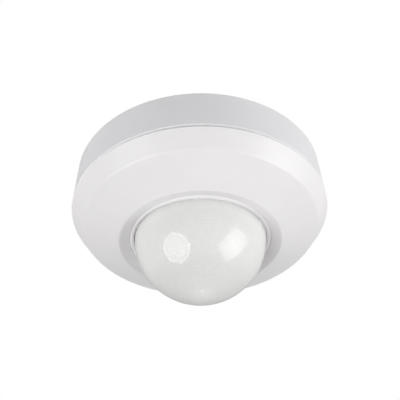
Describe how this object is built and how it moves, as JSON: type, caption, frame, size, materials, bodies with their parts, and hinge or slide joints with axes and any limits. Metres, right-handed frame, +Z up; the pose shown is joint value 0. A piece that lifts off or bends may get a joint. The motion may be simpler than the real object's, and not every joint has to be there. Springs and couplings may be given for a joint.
{
  "type": "ceiling motion sensor",
  "caption": "Round surface-mounted ceiling presence detector: mains base drum, twist-off bevelled cover and a milky domed infrared lens over its sensor.",
  "frame": {"origin": "centre of the flat back face, which lies against the ceiling, midway between the two screw slots", "axes": "+Z up into the ceiling, the dome hangs along -Z; +X along the line through the two screw slots; -Y on the side of the terminal block and cable entry"},
  "size_m": [0.115, 0.115, 0.0615],
  "materials": {
    "housing_white": "satin moulded ABS, warm white",
    "cover_white": "satin moulded ABS, warm white",
    "lens_milky": "milky translucent polyethylene with fine lens facets",
    "chassis_white": "fine-textured moulded ABS",
    "board_green": "glass-epoxy laminate with solder resist",
    "zinc_steel": "zinc-plated steel",
    "terminal_grey": "flame-retardant polyamide",
    "brass": "nickel-dulled brass",
    "grommet_rubber": "soft black rubber",
    "wire_brown": "PVC insulation, brown",
    "wire_blue": "PVC insulation, blue",
    "wire_black": "PVC insulation, black",
    "relay_blue": "moulded relay case, dark blue",
    "black_resin": "moulded black epoxy",
    "coil_copper": "enamelled copper winding",
    "relay_iron": "nickel-plated soft iron",
    "contact_bronze": "spring bronze with silver rivets",
    "film_yellow": "film capacitor box, dark yellow",
    "can_sleeve": "shrink sleeve on aluminium",
    "varistor_blue": "dipped epoxy, blue",
    "resistor_tan": "lacquered resistor with colour bands",
    "trimmer_blue": "moulded trimmer case",
    "knob_grey": "moulded polyamide, grey",
    "steel_can": "nickel-plated steel can",
    "filter_glass": "silicon window with infrared coating",
    "ceramic": "alumina ceramic",
    "photocell_face": "cadmium sulphide track under clear resin",
    "led_red": "tinted clear epoxy"
  },
  "bodies": {
    "base": {"base_housing": "housing_white", "inner_chassis": "chassis_white", "main_pcb": "board_green", "sensor_pcb": "board_green", "chassis_screws": "zinc_steel", "cable_clamp_screws": "zinc_steel", "terminal_block_screws": "zinc_steel", "sensor_board_screws": "zinc_steel", "cable_grommet": "grommet_rubber", "cable_clamp": "terminal_grey", "terminal_block": "terminal_grey", "contact_bars": "brass", "lead_live": "wire_brown", "lead_neutral": "wire_blue", "lead_load": "wire_black", "relay_base": "black_resin", "relay_case": "relay_blue", "relay_coil": "coil_copper", "relay_yoke": "relay_iron", "fixed_contact": "contact_bronze", "dropper_capacitor": "film_yellow", "bulk_capacitor": "can_sleeve", "filter_capacitor": "can_sleeve", "varistor": "varistor_blue", "fuse_resistor": "resistor_tan", "bridge_rectifier": "black_resin", "voltage_regulator": "black_resin", "driver_transistor": "black_resin", "time_trimmer": "trimmer_blue", "lux_trimmer": "trimmer_blue", "sens_trimmer": "trimmer_blue", "board_header": "black_resin", "controller_chip": "black_resin", "pir_header": "steel_can", "pir_can": "steel_can", "pir_window": "filter_glass", "pyro_elements": "ceramic", "photocell": "photocell_face", "status_led": "led_red"},
    "lens": {"dome_lens": "lens_milky"},
    "cover": {"front_cover": "cover_white"},
    "time_dial": {"time_knob": "knob_grey"},
    "lux_dial": {"lux_knob": "knob_grey"},
    "sens_dial": {"sens_knob": "knob_grey"},
    "live_clamp_screw": {"live_screw": "zinc_steel"},
    "neutral_clamp_screw": {"neutral_screw": "zinc_steel"},
    "load_clamp_screw": {"load_screw": "zinc_steel"},
    "live_clamp_cage": {"live_cage": "brass"},
    "neutral_clamp_cage": {"neutral_cage": "brass"},
    "load_clamp_cage": {"load_cage": "brass"},
    "relay_arm": {"relay_armature": "relay_iron", "moving_contact": "contact_bronze"}
  },
  "joints": [
    {"name": "lens_drop", "type": "slide", "parent": "base", "child": "lens", "axis": [0, 0, -1], "range_m": [0, 0.045]},
    {"name": "cover_twist", "type": "hinge", "parent": "lens", "child": "cover", "pos_m": [0, 0, -0.0155], "axis": [0, 0, -1], "range_deg": [0, 180]},
    {"name": "time_turn", "type": "hinge", "parent": "base", "child": "time_dial", "pos_m": [-0.0205, 0.0355, -0.0256], "axis": [0, 0, 1], "range_deg": [-135, 135]},
    {"name": "lux_turn", "type": "hinge", "parent": "base", "child": "lux_dial", "pos_m": [0, 0.041, -0.0256], "axis": [0, 0, 1], "range_deg": [-135, 135]},
    {"name": "sens_turn", "type": "hinge", "parent": "base", "child": "sens_dial", "pos_m": [0.0205, 0.0355, -0.0256], "axis": [0, 0, 1], "range_deg": [-135, 135]},
    {"name": "live_screw_turn", "type": "hinge", "parent": "base", "child": "live_clamp_screw", "pos_m": [-0.0165, -0.04, -0.0145], "axis": [0, 0, 1], "range_deg": [0, 1440]},
    {"name": "live_cage_pull", "type": "slide", "parent": "base", "child": "live_clamp_cage", "axis": [0, 0, -1], "range_m": [0, 0.002]},
    {"name": "neutral_screw_turn", "type": "hinge", "parent": "base", "child": "neutral_clamp_screw", "pos_m": [-0.0075, -0.04, -0.0145], "axis": [0, 0, 1], "range_deg": [0, 1440]},
    {"name": "neutral_cage_pull", "type": "slide", "parent": "base", "child": "neutral_clamp_cage", "axis": [0, 0, -1], "range_m": [0, 0.002]},
    {"name": "load_screw_turn", "type": "hinge", "parent": "base", "child": "load_clamp_screw", "pos_m": [0.0015, -0.04, -0.0145], "axis": [0, 0, 1], "range_deg": [0, 1440]},
    {"name": "load_cage_pull", "type": "slide", "parent": "base", "child": "load_clamp_cage", "axis": [0, 0, -1], "range_m": [0, 0.002]},
    {"name": "relay_pull", "type": "hinge", "parent": "base", "child": "relay_arm", "pos_m": [-0.0174, 0.01, -0.0064], "axis": [0, -1, 0], "range_deg": [0, 4], "stiffness_Nm_per_rad": 0.01, "springref_deg": -5.73}
  ],
  "couplings": [
    {"joint": "lens_drop", "follows": "cover_twist", "m_per_rad": 0.014324},
    {"joint": "live_screw_turn", "follows": "live_cage_pull", "rad_per_m": 12566},
    {"joint": "neutral_screw_turn", "follows": "neutral_cage_pull", "rad_per_m": 12566},
    {"joint": "load_screw_turn", "follows": "load_cage_pull", "rad_per_m": 12566}
  ]
}
